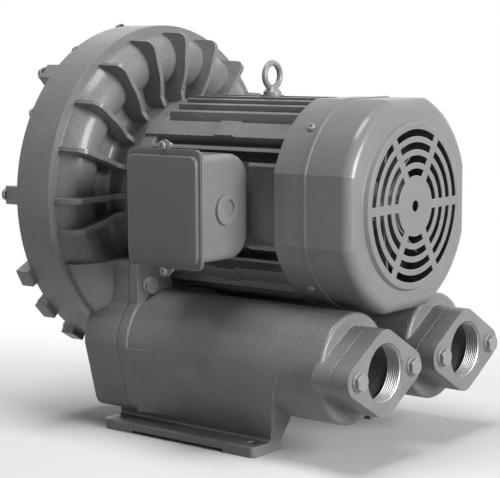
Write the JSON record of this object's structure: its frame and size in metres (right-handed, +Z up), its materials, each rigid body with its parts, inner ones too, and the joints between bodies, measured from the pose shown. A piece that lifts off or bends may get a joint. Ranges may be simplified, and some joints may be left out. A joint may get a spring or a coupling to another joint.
{
  "type": "side channel blower",
  "caption": "Side channel blower with a ribbed round impeller casing, flanged finned motor with fan cowl and terminal box, and two silencer feet with threaded flange ports.",
  "frame": {"origin": "centre of the four foot bolt holes, on the floor", "axes": "+X along the shaft from the impeller casing towards the fan cowl and out of the ports, -Y towards the terminal box, +Z up"},
  "size_m": [0.4398, 0.3806, 0.4493],
  "materials": {
    "grey_enamel": "semi-gloss enamel over cast aluminium and sheet steel",
    "bright_steel": "machined",
    "cast_aluminium": "as cast, turned on the faces",
    "core_steel": "stacked laminations",
    "copper_winding": "varnished copper wire",
    "seal_rubber": "matt",
    "silencer_foam": "open-cell foam",
    "black_plastic": "moulded, matt"
  },
  "bodies": {
    "frame": {"box_gasket": "seal_rubber", "box_screws": "bright_steel", "casing_cover": "grey_enamel", "cover_bolts": "grey_enamel", "cover_gasket": "seal_rubber", "cowl_screws": "grey_enamel", "drive_bearing_outer_ring": "bright_steel", "drive_end_shield": "grey_enamel", "eye_bolt": "grey_enamel", "fan_bearing_outer_ring": "bright_steel", "fan_cowl": "grey_enamel", "fan_end_shield": "grey_enamel", "flange_bolts": "grey_enamel", "impeller_casing": "grey_enamel", "left_flange_gasket": "seal_rubber", "left_port_flange": "grey_enamel", "left_silencer": "grey_enamel", "left_silencer_gasket": "seal_rubber", "left_silencer_liner": "silencer_foam", "lid_gasket": "seal_rubber", "lid_screws": "grey_enamel", "motor_frame": "grey_enamel", "neck_screws": "bright_steel", "preload_washer": "bright_steel", "right_flange_gasket": "seal_rubber", "right_port_flange": "grey_enamel", "right_silencer": "grey_enamel", "right_silencer_gasket": "seal_rubber", "right_silencer_liner": "silencer_foam", "shaft_seal": "seal_rubber", "shield_screws": "bright_steel", "silencer_bolts": "grey_enamel", "stator_core": "core_steel", "stator_windings": "copper_winding", "terminal_block": "black_plastic", "terminal_box": "grey_enamel", "terminal_lid": "grey_enamel"},
    "rotor": {"shaft": "bright_steel", "rotor_core": "core_steel", "impeller": "cast_aluminium", "impeller_key": "bright_steel", "impeller_washer": "bright_steel", "impeller_bolt": "bright_steel", "drive_bearing_inner_ring": "bright_steel", "fan_bearing_inner_ring": "bright_steel", "cooling_fan": "black_plastic", "fan_clip": "bright_steel"},
    "drive_cage": {"drive_bearing_balls": "bright_steel"},
    "fan_cage": {"fan_bearing_balls": "bright_steel"}
  },
  "joints": [
    {"name": "rotor_spin", "type": "hinge", "parent": "frame", "child": "rotor", "pos_m": [0, 0, 0.258], "axis": [1, 0, 0], "continuous": true},
    {"name": "drive_cage_spin", "type": "hinge", "parent": "frame", "child": "drive_cage", "pos_m": [-0.0745, 0, 0.258], "axis": [1, 0, 0], "continuous": true},
    {"name": "fan_cage_spin", "type": "hinge", "parent": "frame", "child": "fan_cage", "pos_m": [0.1205, 0, 0.258], "axis": [1, 0, 0], "continuous": true}
  ],
  "couplings": [
    {"joint": "drive_cage_spin", "follows": "rotor_spin", "ratio": 0.355},
    {"joint": "fan_cage_spin", "follows": "rotor_spin", "ratio": 0.355}
  ]
}
